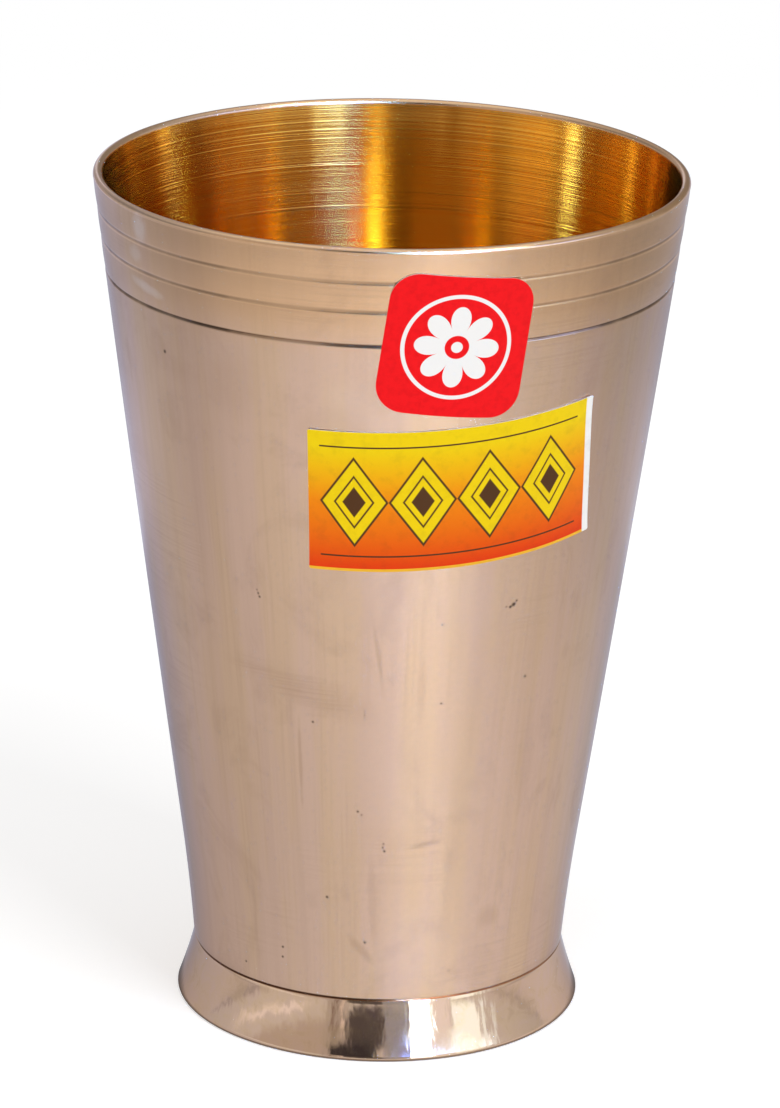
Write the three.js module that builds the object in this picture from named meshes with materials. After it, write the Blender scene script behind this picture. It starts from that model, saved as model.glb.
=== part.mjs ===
// A brass drinking tumbler: a tapered turned wall with three grooves under its rim, a floor disc
// let into the wall's narrow end, a flared foot ring below, the beads of brazing metal that join
// them inside the cup and under it, and two paper stickers.
// Millimetres. +Z is up, the origin is the centre of the foot's underside, the front faces -Y.
import * as THREE from 'three';

// Overall sizes, all outside
const HEIGHT = 123.6;
const RIM_RADIUS = 42;
const WAIST_RADIUS = 26.95;
const FOOT_RADIUS = 29.3;
const FOOT_HEIGHT = 8.5;

// The wall is a cone that swells by BELLY at mid height and eases outwards above the waist
const WALL_THICKNESS = 1.35;
const BELLY = 0.2;
const WAIST_EASE = 0.5;
const EASE_HEIGHT = 17.3;

// Turned grooves, by how far each lies below the rim, and the groove where wall and foot meet
const GROOVE_DROPS = [4.9, 9.1, 14.0];
const GROOVE_WIDTH = 0.9;
const GROOVE_DEPTH = 0.22;
const WAIST_CHAMFER = 0.25;

// The floor disc, whose edge has the wall's taper
const FLOOR_THICKNESS = 1.8;

// The foot ring is thin at its top and heavier where it stands
const FOOT_TOP_THICKNESS = 1.2;
const FOOT_BASE_THICKNESS = 2;
const FOOT_FLARE_HOLLOW = 0.12;
const FOOT_EDGE_RADIUS = 0.4;

// Each bead of brazing metal fills its corner this far along both sides
const FLOOR_BEAD_LEG = 2;
const FOOT_BEAD_LEG = 1.8;

// Play between pieces that sit in or on each other
const FLOOR_PLAY = 0.05;
const BEAD_PLAY = 0.05;
const STICKER_PLAY = 0.05;

// Stickers: angle round from the front towards +X, drop of the centre below the rim, and lean,
// which is positive where the right end is raised
const PAPER_THICKNESS = 0.15;
const RED_STICKER = {
  width: 20.2,
  height: 20.5,
  cornerRadius: 4,
  cornerSteps: 4,
  lean: -5.9,
  angle: 13.1,
  drop: 14.1,
};
const PRINTED_LABEL = {
  width: 42,
  height: 21,
  cornerRadius: 0.3,
  cornerSteps: 2,
  lean: 3.6,
  angle: 15.9,
  drop: 36.5,
};

// Fineness of the round shapes
const ROUND_SEGMENTS = 72;
const ARC_STEPS = 6;
const EASE_STEPS = 4;
const WALL_STEPS = 6;
const FLARE_STEPS = 5;
const STICKER_COLUMNS = 12;
const STICKER_ROWS = 4;

const BRASS = { color: 0xd9b593, metalness: 1, roughness: 0.28 };
const GOLDEN_BRASS = { color: 0xc98a2e, metalness: 1, roughness: 0.35 };
const POLISHED_BRASS = { color: 0xdcb894, metalness: 1, roughness: 0.1 };
const BRAZING_METAL = { color: 0xb08d4a, metalness: 1, roughness: 0.5 };
const RED_PAPER = { color: 0xe8141e, metalness: 0, roughness: 0.6 };
const YELLOW_PAPER = { color: 0xf6c800, metalness: 0, roughness: 0.5 };

const rad = THREE.MathUtils.degToRad;
const lerp = THREE.MathUtils.lerp;
const wallTop = HEIGHT - WALL_THICKNESS / 2;
const floorTop = FOOT_HEIGHT + FLOOR_THICKNESS;

// Outside radius of the wall at height z
function wallRadius(z) {
  const up = (z - FOOT_HEIGHT) / (wallTop - FOOT_HEIGHT);
  const cone = lerp(WAIST_RADIUS - WAIST_EASE, RIM_RADIUS, up);
  const swell = BELLY * 4 * up * (1 - up);
  const left = Math.max(0, 1 - (z - FOOT_HEIGHT) / EASE_HEIGHT);
  return cone + swell + WAIST_EASE * left * left;
}

function wallBore(z) {
  return wallRadius(z) - WALL_THICKNESS;
}

// Heights where the wall's line bends, from the waist to the rim
function wallHeights() {
  const easeTop = FOOT_HEIGHT + EASE_HEIGHT;
  const heights = [];
  for (let i = 0; i < EASE_STEPS; i += 1) {
    heights.push(lerp(FOOT_HEIGHT, easeTop, i / EASE_STEPS));
  }
  for (let i = 0; i <= WALL_STEPS; i += 1) {
    heights.push(lerp(easeTop, wallTop, i / WALL_STEPS));
  }
  return heights;
}

// The wall's line between two heights, moved inwards by inset
function wallLine(low, high, inset) {
  const between = wallHeights().filter((z) => z > low && z < high);
  return [low, ...between, high].map((z) => new THREE.Vector2(wallRadius(z) - inset, z));
}

// Points of an arc in a profile, between two angles in degrees
function arc(centre, radius, from, to, steps = ARC_STEPS) {
  const points = [];
  for (let i = 0; i <= steps; i += 1) {
    const angle = rad(lerp(from, to, i / steps));
    points.push(new THREE.Vector2(radius * Math.cos(angle), radius * Math.sin(angle)).add(centre));
  }
  return points;
}

// A V groove in the wall's line, centred at height z
function groove(z) {
  const half = GROOVE_WIDTH / 2;
  return [
    new THREE.Vector2(wallRadius(z - half), z - half),
    new THREE.Vector2(wallRadius(z) - GROOVE_DEPTH, z),
    new THREE.Vector2(wallRadius(z + half), z + half),
  ];
}

// Turns a profile of radius and height about the Z axis
function turned(profile) {
  return new THREE.LatheGeometry(profile, ROUND_SEGMENTS).rotateX(Math.PI / 2);
}

function closed(profile) {
  return [...profile, profile[0].clone()];
}

function taperedWall() {
  const outside = [new THREE.Vector2(wallRadius(FOOT_HEIGHT) - WAIST_CHAMFER, FOOT_HEIGHT)];
  const grooves = GROOVE_DROPS.map((drop) => HEIGHT - drop).sort((a, b) => a - b);
  let from = FOOT_HEIGHT + WAIST_CHAMFER;
  for (const z of grooves) {
    outside.push(...wallLine(from, z - GROOVE_WIDTH / 2, 0).slice(0, -1));
    outside.push(...groove(z).slice(0, -1));
    from = z + GROOVE_WIDTH / 2;
  }
  outside.push(...wallLine(from, wallTop, 0).slice(0, -1));
  const rimCentre = new THREE.Vector2(RIM_RADIUS - WALL_THICKNESS / 2, wallTop);
  const rim = arc(rimCentre, WALL_THICKNESS / 2, 0, 180);
  const inside = wallLine(FOOT_HEIGHT, wallTop, WALL_THICKNESS).reverse().slice(1);
  return turned(closed([...outside, ...rim, ...inside]));
}

function floorDisc() {
  return turned([
    new THREE.Vector2(0, FOOT_HEIGHT),
    ...wallLine(FOOT_HEIGHT, floorTop, WALL_THICKNESS + FLOOR_PLAY),
    new THREE.Vector2(0, floorTop),
  ]);
}

// Inside radius of the foot ring at height z
function footBore(z) {
  const base = FOOT_RADIUS - FOOT_BASE_THICKNESS;
  return lerp(base, WAIST_RADIUS - FOOT_TOP_THICKNESS, z / FOOT_HEIGHT);
}

function footRing() {
  const edgeCentre = new THREE.Vector2(FOOT_RADIUS - FOOT_EDGE_RADIUS, FOOT_EDGE_RADIUS);
  const flareTop = FOOT_HEIGHT - WAIST_CHAMFER;
  const flare = [];
  for (let i = 1; i <= FLARE_STEPS; i += 1) {
    const up = i / FLARE_STEPS;
    const hollow = FOOT_FLARE_HOLLOW * 4 * up * (1 - up);
    const radius = lerp(FOOT_RADIUS, WAIST_RADIUS, up) - hollow;
    flare.push(new THREE.Vector2(radius, lerp(FOOT_EDGE_RADIUS, flareTop, up)));
  }
  return turned(closed([
    new THREE.Vector2(footBore(0), 0),
    ...arc(edgeCentre, FOOT_EDGE_RADIUS, -90, 0),
    ...flare,
    new THREE.Vector2(WAIST_RADIUS - WAIST_CHAMFER, FOOT_HEIGHT),
    new THREE.Vector2(footBore(FOOT_HEIGHT), FOOT_HEIGHT),
  ]));
}

// A bead with a hollow face, in the corner between the flat at height z and a round side whose
// inside radius at each height is bore(height). It lies above the flat where way is 1, below at -1.
function bead(z, bore, leg, way) {
  const point = (x, y) => new THREE.Vector2(bore(z + way * y) - BEAD_PLAY + x, z + way * y);
  const face = arc(new THREE.Vector2(-leg, leg), leg, 0, -90).map(({ x, y }) => point(x, y));
  const profile = [point(0, 0), ...face];
  return turned(closed(way > 0 ? profile : profile.reverse()));
}

// Half the height of a sticker's rounded outline at each of its columns, from left to right
function stickerColumns({ width, height, cornerRadius, cornerSteps }) {
  const straight = width / 2 - cornerRadius;
  const side = height / 2 - cornerRadius;
  const columns = arc(new THREE.Vector2(-straight, side), cornerRadius, 180, 90, cornerSteps);
  for (let i = 1; i < STICKER_COLUMNS; i += 1) {
    columns.push(new THREE.Vector2(lerp(-straight, straight, i / STICKER_COLUMNS), height / 2));
  }
  columns.push(...arc(new THREE.Vector2(straight, side), cornerRadius, 90, 0, cornerSteps));
  return columns;
}

// Lays the flat point (x, y) of a sticker on the wall, as paper wraps a cone, out by lift
function wrapped(sticker, x, y, lift) {
  const centre = HEIGHT - sticker.drop;
  const slope = (wallRadius(centre + 1) - wallRadius(centre - 1)) / 2;
  const taper = Math.atan(slope);
  const lean = rad(sticker.lean);
  const across = x * Math.cos(lean) - y * Math.sin(lean);
  const apexToCentre = wallRadius(centre) / Math.sin(taper);
  const along = apexToCentre + x * Math.sin(lean) + y * Math.cos(lean);
  const angle = rad(sticker.angle) + Math.atan2(across, along) / Math.sin(taper);
  const z = centre + (Math.hypot(across, along) - apexToCentre) * Math.cos(taper);
  const radius = wallRadius(z) + lift;
  return [radius * Math.sin(angle), -radius * Math.cos(angle), z];
}

// A closed sheet of paper on the wall: a grid for its back, one for its face, and its edges
function paper(sticker) {
  const columns = stickerColumns(sticker);
  const perColumn = STICKER_ROWS + 1;
  const faceStart = columns.length * perColumn;
  const positions = [];
  for (const lift of [STICKER_PLAY, STICKER_PLAY + PAPER_THICKNESS]) {
    for (const { x, y } of columns) {
      for (let row = 0; row < perColumn; row += 1) {
        positions.push(...wrapped(sticker, x, lerp(-y, y, row / STICKER_ROWS), lift));
      }
    }
  }
  const index = [];
  const quad = (a, b, c, d) => index.push(a, b, c, a, c, d);
  for (let column = 1; column < columns.length; column += 1) {
    const left = (column - 1) * perColumn;
    const right = column * perColumn;
    for (let row = 0; row < STICKER_ROWS; row += 1) {
      const corners = [left + row, right + row, right + row + 1, left + row + 1];
      quad(...corners.map((corner) => faceStart + corner));
      quad(...corners.reverse());
    }
    quad(left, right, faceStart + right, faceStart + left);
    const top = STICKER_ROWS;
    quad(right + top, left + top, faceStart + left + top, faceStart + right + top);
  }
  const last = (columns.length - 1) * perColumn;
  for (let row = 0; row < STICKER_ROWS; row += 1) {
    quad(row + 1, row, faceStart + row, faceStart + row + 1);
    quad(last + row, last + row + 1, faceStart + last + row + 1, faceStart + last + row);
  }
  const geometry = new THREE.BufferGeometry();
  geometry.setAttribute('position', new THREE.Float32BufferAttribute(positions, 3));
  geometry.setIndex(index);
  geometry.computeVertexNormals();
  return geometry;
}

const tumbler = new THREE.Group();
tumbler.name = 'tumbler';

function add(name, geometry, look) {
  const mesh = new THREE.Mesh(geometry, new THREE.MeshStandardMaterial(look));
  mesh.name = name;
  tumbler.add(mesh);
}

add('tapered_wall', taperedWall(), BRASS);
add('floor_disc', floorDisc(), GOLDEN_BRASS);
add('foot_ring', footRing(), POLISHED_BRASS);
add('floor_braze_bead', bead(floorTop, wallBore, FLOOR_BEAD_LEG, 1), BRAZING_METAL);
add('foot_braze_bead', bead(FOOT_HEIGHT, footBore, FOOT_BEAD_LEG, -1), BRAZING_METAL);
add('red_sticker', paper(RED_STICKER), RED_PAPER);
add('printed_label', paper(PRINTED_LABEL), YELLOW_PAPER);

export default tumbler;
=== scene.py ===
"""The looks of a brass drinking tumbler: polished brass, a mirror foot and two paper stickers.

Lengths are written in millimetres and angles in degrees, and are turned into metres and radians
where a mesh, a bump, a lamp or the camera is made. The tumbler's front faces -Y and +Z is up.
"""

import math

import bpy
from mathutils import Matrix, Vector


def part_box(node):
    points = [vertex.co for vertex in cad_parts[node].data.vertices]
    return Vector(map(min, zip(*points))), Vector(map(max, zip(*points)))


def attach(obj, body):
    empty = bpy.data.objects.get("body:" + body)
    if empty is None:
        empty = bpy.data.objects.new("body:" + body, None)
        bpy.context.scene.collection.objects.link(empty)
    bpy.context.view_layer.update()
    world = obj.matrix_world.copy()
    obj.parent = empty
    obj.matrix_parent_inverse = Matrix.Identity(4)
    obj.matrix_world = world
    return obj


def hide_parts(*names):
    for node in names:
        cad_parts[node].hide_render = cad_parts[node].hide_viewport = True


MM = 0.001

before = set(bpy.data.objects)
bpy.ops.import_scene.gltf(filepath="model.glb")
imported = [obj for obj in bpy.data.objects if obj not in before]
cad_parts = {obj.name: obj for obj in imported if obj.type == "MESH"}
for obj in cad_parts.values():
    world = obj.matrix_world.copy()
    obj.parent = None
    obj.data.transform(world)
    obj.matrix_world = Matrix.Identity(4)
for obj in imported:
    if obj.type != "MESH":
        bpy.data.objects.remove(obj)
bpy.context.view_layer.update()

# The tumbler's outside, in the sizes that its solids have
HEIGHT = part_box("tapered_wall")[1].z / MM
RIM_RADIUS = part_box("tapered_wall")[1].x / MM
FOOT_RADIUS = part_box("foot_ring")[1].x / MM
FOOT_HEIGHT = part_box("foot_ring")[1].z / MM
FLOOR_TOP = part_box("floor_disc")[1].z / MM
WAIST_RADIUS = 26.95
WALL_THICKNESS = 1.35
BELLY = 0.2
WAIST_EASE = 0.5
EASE_HEIGHT = 17.3
WALL_TOP = HEIGHT - WALL_THICKNESS / 2

# Turned grooves: drop below the rim, half width, depth, and how dark the painted shade in them is
GROOVES = ((4.9, 0.50, 0.09, 0.55), (9.1, 0.50, 0.10, 0.60), (14.0, 0.36, 0.15, 0.90))
GROOVE_SHARPNESS = 1.5
GROOVE_MARGIN = 1
BAND_SWELL = 0.06

# The groove at the waist, half in the wall and half in the foot ring: points by their depth in
# the metal and distance from the joint, and the wall's shoulder above them
WAIST_CHAMFER = 0.25
WAIST_SHOULDER = 0.12
WAIST_LINE = ((WAIST_CHAMFER, 0), (0.19, 0.05), (0.05, 0.20), (0.01, WAIST_CHAMFER))
WAIST_LIP = ((0.05, 0.10), (WAIST_CHAMFER, 0))

# The bore is turned out a little wider in this length below the rim
BORE_SWELL = 0.38
BORE_SWELL_LENGTH = 100
BORE_TOP_DROP = 0.2

# The foot ring and the beads under and above the floor
FOOT_TOP_THICKNESS = 1.2
FOOT_BASE_THICKNESS = 2
FOOT_FLARE_HOLLOW = 0.12
FOOT_EDGE_RADIUS = 0.4
FOOT_BORE_CHAMFER = 0.15
PIECE_PLAY = 0.05
FLOOR_BEAD_LEG = 2
FOOT_BEAD_LEG = 1.8

# How a bead's face ripples round the axis: its depth, and waves by count, phase and share
BEAD_RIPPLE = 0.35
BEAD_WAVES = ((23, 0.0, 0.5), (57, 1.3, 0.3), (101, 0.4, 0.2))

# The two stickers, laid on the wall as in the solids
STICKER_PLAY = 0.05
PAPER_THICKNESS = 0.15
RED_STICKER = dict(width=20.2, height=20.5, corner=4, lean=-5.9, angle=13.1, drop=14.1, curl=0.12)
PRINTED_LABEL = dict(width=42, height=21, corner=0.3, lean=3.6, angle=15.9, drop=36.5, curl=0.18)
LABEL_MARGIN = 1.15

# Paper stands off the wall most at its corners, by curl, and a little in waves elsewhere
CURL_SHARPNESS = 6
PAPER_WAVE = 0.25
PAPER_WAVES = (0.55, 0.4)
PAPER_WAVE_PHASE = 0.8

# The red sticker's print, a rosette in a ring. A line's reach is how far from its middle it
# starts to fade and ends.
ROSETTE_SOFT = 0.06
ROSETTE_PETALS = 8
ROSETTE_REACH = 5.9
ROSETTE_WAIST = 2.6
ROSETTE_EYE = 1.7
ROSETTE_DOT = 0.8
ROSETTE_RING = 7.4
ROSETTE_RING_REACH = (0.23, 0.33)

# The label's print, a row of lozenges between two rules, with a thin edge of gold below
LOZENGES = 4
LOZENGE_WIDTH = 9.4
LOZENGE_HEIGHT = 13.6
LOZENGE_ROW_SOFT = 0.03
LABEL_RULE = 8.2
LABEL_RULE_REACH = (0.09, 0.15)
LABEL_EDGE = 0.4
LABEL_EDGE_SOFT = 0.05

# A lozenge's ground, outline, inner line and heart, as shares of the way out from its centre
LOZENGE_SOFT = 0.02
LOZENGE_GROUND = 0.98
LOZENGE_OUTLINE = 0.96
LOZENGE_OUTLINE_REACH = (0.02, 0.06)
LOZENGE_INNER = 0.56
LOZENGE_INNER_REACH = (0.015, 0.05)
LOZENGE_HEART = 0.34

# Fineness of the meshes, and the angle and distance that make an edge sharp and points the same
SEGMENTS = 288
EASE_STEPS = 12
WALL_STEPS = 24
GROOVE_STEPS = 150
RIM_STEPS = 20
BORE_STEPS = 60
DISC_STEPS = 12
DISC_EDGE_STEPS = 3
FLARE_STEPS = 24
FOOT_EDGE_STEPS = 10
FOOT_BORE_STEPS = 8
BEAD_STEPS = 14
STICKER_COLUMNS = 60
STICKER_ROWS = 48
STICKER_CORNER_STEPS = 10
FLOOR_SEGMENTS = 96
SHARP_ANGLE = 40
SAME_POINT = 1e-6

# The camera, found from the photograph's rim, grooves, waist and foot
PHOTO_HEIGHT = 1108
FOCAL_PIXELS = 5567.1
CAMERA_DISTANCE = 758
CAMERA_HEIGHT = 323
CAMERA_YAW = 0.056
CAMERA_PITCH = 18.685
CAMERA_ROLL = 1.106
CAMERA_CLIP = 10
SENSOR = 36


# Shape of the tumbler


def lerp(a, b, t):
    return a + (b - a) * t


def hump(t):
    """1 in the middle and 0 at both ends, where t is 0 and 1."""
    return 4 * t * (1 - t)


def wall_radius(z):
    """The outside radius of the plain wall at height z."""
    up = (z - FOOT_HEIGHT) / (WALL_TOP - FOOT_HEIGHT)
    cone = lerp(WAIST_RADIUS - WAIST_EASE, RIM_RADIUS, up)
    left = max(0.0, 1 - (z - FOOT_HEIGHT) / EASE_HEIGHT)
    return cone + BELLY * hump(up) + WAIST_EASE * left * left


def wall_bore(z):
    """The inside radius of the wall at height z."""
    down = min(max(0, WALL_TOP - z), BORE_SWELL_LENGTH)
    swell = BORE_SWELL * math.sin(math.pi * down / BORE_SWELL_LENGTH)
    return wall_radius(z) - WALL_THICKNESS + swell


def foot_bore(z):
    """The inside radius of the foot ring at height z."""
    base = FOOT_RADIUS - FOOT_BASE_THICKNESS
    return lerp(base, WAIST_RADIUS - FOOT_TOP_THICKNESS, z / FOOT_HEIGHT)


def turned_radius(z):
    """The outside radius with the grooves cut in and the bands between them swelled a little."""
    heights = [HEIGHT - groove[0] for groove in GROOVES]
    radius = wall_radius(z)
    edges = [*reversed(heights), WALL_TOP]
    for low, high in zip(edges, edges[1:]):
        if low < z < high:
            radius += BAND_SWELL * (hump((z - low) / (high - low)) - 1)
    for drop, half, depth, _ in GROOVES:
        off = abs(z - HEIGHT + drop) / half
        if off < 1:
            radius -= depth * (0.5 + 0.5 * math.cos(math.pi * off)) ** GROOVE_SHARPNESS
    return radius


def spread(low, high, steps):
    return [lerp(low, high, i / steps) for i in range(steps + 1)]


def arc(centre, radius, start, end, steps):
    """Points of an arc in a profile of radius and height, between two angles in degrees."""
    angles = [math.radians(a) for a in spread(start, end, steps)]
    return [(centre[0] + radius * math.cos(a), centre[1] + radius * math.sin(a)) for a in angles]


def wall_outside():
    """The outside line of the wall, from the waist groove up to the rim's round edge."""
    low = FOOT_HEIGHT
    line = [(wall_radius(low) - depth, low + up) for depth, up in WAIST_LINE]
    below_grooves = HEIGHT - GROOVES[-1][0] - GROOVE_MARGIN
    heights = spread(low + WAIST_CHAMFER + WAIST_SHOULDER, low + EASE_HEIGHT, EASE_STEPS)
    heights += spread(low + EASE_HEIGHT, below_grooves, WALL_STEPS)[1:]
    heights += spread(below_grooves, WALL_TOP, GROOVE_STEPS)[1:]
    return line + [(turned_radius(z), z) for z in heights]


# Mesh making


def add(name, data):
    """A new object in the scene, from a mesh, a lamp or a camera."""
    thing = bpy.data.objects.new(name, data)
    bpy.context.scene.collection.objects.link(thing)
    return thing


def new_object(name, vertices, faces, materials, face_materials=None):
    """A mesh object from points in millimetres, shaded smooth but for edges over the sharp angle."""
    mesh = bpy.data.meshes.new(name)
    mesh.from_pydata([tuple(c * MM for c in v) for v in vertices], [], faces)
    for look in materials:
        mesh.materials.append(look)
    if face_materials:
        mesh.polygons.foreach_set("material_index", face_materials)
    mesh.polygons.foreach_set("use_smooth", [True] * len(mesh.polygons))
    mesh.set_sharp_from_angle(angle=math.radians(SHARP_ANGLE))
    mesh.validate()
    mesh.update()
    return add(name, mesh)


def turned(name, runs, materials, wobble=None):
    """Turns profile runs about the Z axis into one closed mesh.

    Each run is (points, material number), and the runs follow each other, outside face first.
    A first and last point on the axis close the mesh there, and otherwise the profile closes
    on itself. wobble moves a point of the profile by angle, as (radius, height, angle).
    """
    profile = []
    slots = []
    for points, slot in runs:
        for point in points:
            if not profile or math.dist(point, profile[-1]) > SAME_POINT:
                profile.append(point)
                slots.append(slot)
    on_axis = profile[0][0] == 0 and profile[-1][0] == 0
    if not on_axis and math.dist(profile[0], profile[-1]) < SAME_POINT:
        profile.pop()
        slots.pop()
    vertices = []
    rings = []
    for radius, height in profile:
        if radius == 0:
            rings.append([len(vertices)] * SEGMENTS)
            vertices.append((0, 0, height))
            continue
        rings.append(list(range(len(vertices), len(vertices) + SEGMENTS)))
        for i in range(SEGMENTS):
            angle = 2 * math.pi * i / SEGMENTS
            r, z = wobble(radius, height, angle) if wobble else (radius, height)
            vertices.append((r * math.sin(angle), -r * math.cos(angle), z))
    faces = []
    face_slots = []
    pairs = list(zip(rings, rings[1:], slots[1:]))
    if not on_axis:
        pairs.append((rings[-1], rings[0], slots[0]))
    for low, high, slot in pairs:
        for i in range(SEGMENTS):
            j = (i + 1) % SEGMENTS
            corners = [low[i], low[j], high[j], high[i]]
            faces.append(tuple(dict.fromkeys(corners)))
            face_slots.append(slot)
    return new_object(name, vertices, faces, materials, face_slots)


def on_wall(sticker, x, y, lift):
    """The place of a sticker's flat point (x, y) on the wall, as paper wraps a cone."""
    centre = HEIGHT - sticker["drop"]
    taper = math.atan((wall_radius(centre + 1) - wall_radius(centre - 1)) / 2)
    lean = math.radians(sticker["lean"])
    apex = wall_radius(centre) / math.sin(taper)
    across = x * math.cos(lean) - y * math.sin(lean)
    along = apex + x * math.sin(lean) + y * math.cos(lean)
    angle = math.radians(sticker["angle"]) + math.atan2(across, along) / math.sin(taper)
    z = centre + (math.hypot(across, along) - apex) * math.cos(taper)
    radius = wall_radius(z) + lift
    return radius * math.sin(angle), -radius * math.cos(angle), z


def sticker_columns(sticker):
    """Each column of a sticker's grid, from left to right, as its x and half its height."""
    corner = sticker["corner"]
    straight = sticker["width"] / 2 - corner
    side = sticker["height"] / 2 - corner
    left = arc((-straight, side), corner, 180, 90, STICKER_CORNER_STEPS)
    middle = spread(-straight, straight, STICKER_COLUMNS)[1:-1]
    right = arc((straight, side), corner, 90, 0, STICKER_CORNER_STEPS)
    return left + [(x, sticker["height"] / 2) for x in middle] + right


def paper_lift(sticker, x, y):
    """How far a sticker's paper stands off the wall: a little more near its corners."""
    out = abs(2 * x / sticker["width"]) * abs(2 * y / sticker["height"])
    wave = math.sin(x * PAPER_WAVES[0] + PAPER_WAVE_PHASE) * math.sin(y * PAPER_WAVES[1])
    return sticker["curl"] * (out**CURL_SHARPNESS + PAPER_WAVE * (0.5 + 0.5 * wave))


def paper(name, sticker, print_material, edge_material):
    """A sheet of paper on the wall, with a face, a back and cut edges, and its flat place as UV."""
    columns = sticker_columns(sticker)
    rows = STICKER_ROWS
    flat = [(x, lerp(-y, y, row / rows)) for x, y in columns for row in range(rows + 1)]

    def wrapped(height):
        return [on_wall(sticker, x, y, height + paper_lift(sticker, x, y)) for x, y in flat]

    back = wrapped(STICKER_PLAY)
    face = wrapped(STICKER_PLAY + PAPER_THICKNESS)
    count = len(flat)
    faces = []
    slots = []

    def quad(a, b, c, d, slot):
        faces.append((a, b, c, d))
        slots.append(slot)

    last = (len(columns) - 1) * (rows + 1)
    for left in range(0, last, rows + 1):
        right = left + rows + 1
        for row in range(rows):
            a, b = left + row, right + row
            quad(count + a, count + b, count + b + 1, count + a + 1, 0)
            quad(a + 1, b + 1, b, a, 1)
        quad(left, right, count + right, count + left, 1)
        quad(right + rows, left + rows, count + left + rows, count + right + rows, 1)
    for row in range(rows):
        quad(row + 1, row, count + row, count + row + 1, 1)
        a = last + row
        quad(a, a + 1, count + a + 1, count + a, 1)
    sheet = new_object(name, back + face, faces, (print_material, edge_material), slots)
    uv = sheet.data.uv_layers.new(name=SHEET_MAP)
    for loop in sheet.data.loops:
        x, y = flat[loop.vertex_index % count]
        uv.data[loop.index].uv = (x / sticker["width"] + 0.5, y / sticker["height"] + 0.5)
    return sheet


# Materials

SHEET_MAP = "sheet"

# The radius at which the patterns per mm round the axis are counted
MIDDLE_RADIUS = 34

# What a noise's values mostly lie between
NOISE_RANGE = (0.3, 0.7)

# Noises on the turned surfaces: patterns per mm round and up, detail, roughness and distortion
WALL_CLOUD = (0.16, 0.018, 5, 0.6)
WALL_STREAK = (0.55, 0.012, 3, 0.6)
WALL_WIPE = (0.07, 0.055, 6, 0.62, 1.6)
WALL_HAIR = (2.2, 0.05, 2, 0.6)
WALL_LINES = (0.05, 4.5, 2, 0.6)
WALL_PATCH = (0.05, 0.05, 3)
# The noise that makes the painted shade in the grooves uneven
GROOVE_SHADE_PATCH = (0.06, 0, 4, 0.6)
BORE_LINES = (0.010, 2.4, 1.9, 0.7)
BORE_RINGS = (0.006, 3.2, 2, 0.6)
BORE_WAVES = (0.03, 0.30, 2, 0.5)
BORE_CLOUD = (0.04, 0.03, 4)
FOOT_SMEAR = (0.2, 0.3, 5, 0.65, 1)
FOOT_WAVES = (0.22, 0.10, 3, 0.6)
FOOT_SCRATCHES = (1.3, 0.5, 3, 0.7)

# Other noises: patterns per mm, detail and roughness
TURNED_RINGS = (3.5, 3, 0.7)
TURNED_CLOUD = (0.08, 4)
BRAZING_LUMPS = (0.9, 4, 0.6)
BRAZING_PITS = (3, 3, 0.6)
CUT_EDGE_GRAIN = (8, 2)
PAPER_GRAIN = (5, 3)
RED_MOTTLE = (0.9, 4, 0.6)
LABEL_MOTTLE = (0.5, 4, 0.6)

# Where these patterns start to stain a surface and stain it fully, and how strongly
WALL_CLOUD_STAIN = (0.38, 0.62)
WALL_STREAK_STAIN = (0.42, 0.72, 0.05)
WALL_WIPE_STAIN = (0.50, 0.72, 0.12)
BORE_LINE_STAIN = (0.58, 0.75, 0.35)
FOOT_CLOUD_STAIN = (0.35, 0.65)
FOOT_SMEAR_STAIN = (0.55, 0.75, 0.15)
TURNED_CLOUD_STAIN = (0.35, 0.70, 0.60)
TURNED_RING_STAIN = (0.55, 0.75, 0.40)
BRAZING_PIT_STAIN = (0.50, 0.68)
RED_MOTTLE_STAIN = (0.40, 0.70, 0.60)
LABEL_MOTTLE_STAIN = (0.45, 0.75, 0.12)

# Where these start to show and show fully, and how strongly before and after
WALL_PATCH_SHOW = (0.50, 0.65, 0, 0.08)
WALL_CLOUD_SHOW = (0.35, 0.60, 0.01, 0.05)
WALL_LINE_SHOW = (0.45, 0.65)
WALL_HAIR_SHOW = (0.45, 0.75)
BORE_RING_SHOW = (0.45, 0.65)
FOOT_SMEAR_SHOW = (0.35, 0.75)

# How high the bumps of these patterns are
WALL_LINE_BUMP = 0.003
WALL_STREAK_BUMP = 0.006
BORE_LINE_BUMP = 0.013
BORE_RING_BUMP = 0.0065
BORE_WAVE_BUMP = 0.02
FOOT_WAVE_BUMP = 0.06
FOOT_SCRATCH_BUMP = 0.004
TURNED_RING_BUMP = 0.012
BRAZING_LUMP_BUMP = 0.15
PAPER_GRAIN_BUMP = 0.006
LABEL_MOTTLE_BUMP = 0.02

# Roughness where a pattern is low and where it is high
WALL_ROUGHNESS = (0.21, 0.27)
BORE_ROUGHNESS = (0.11, 0.14)
FOOT_ROUGHNESS = (0.05, 0.13)
FLOOR_ROUGHNESS = (0.22, 0.34)
UNDERSIDE_ROUGHNESS = (0.34, 0.46)
FOOT_BORE_ROUGHNESS = (0.32, 0.44)
BRAZING_ROUGHNESS = (0.35, 0.6)
RED_ROUGHNESS = (0.42, 0.55)
LABEL_ROUGHNESS = (0.33, 0.45)
CUT_EDGE_ROUGHNESS = 0.7
PAPER_SPECULAR = 0.15

# How far fine turned lines draw the gloss out, and the quarter turn that sets it across them
WALL_BRUSHING = 0.5
BORE_BRUSHING = 0.95
QUARTER_TURN = 0.25

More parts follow.
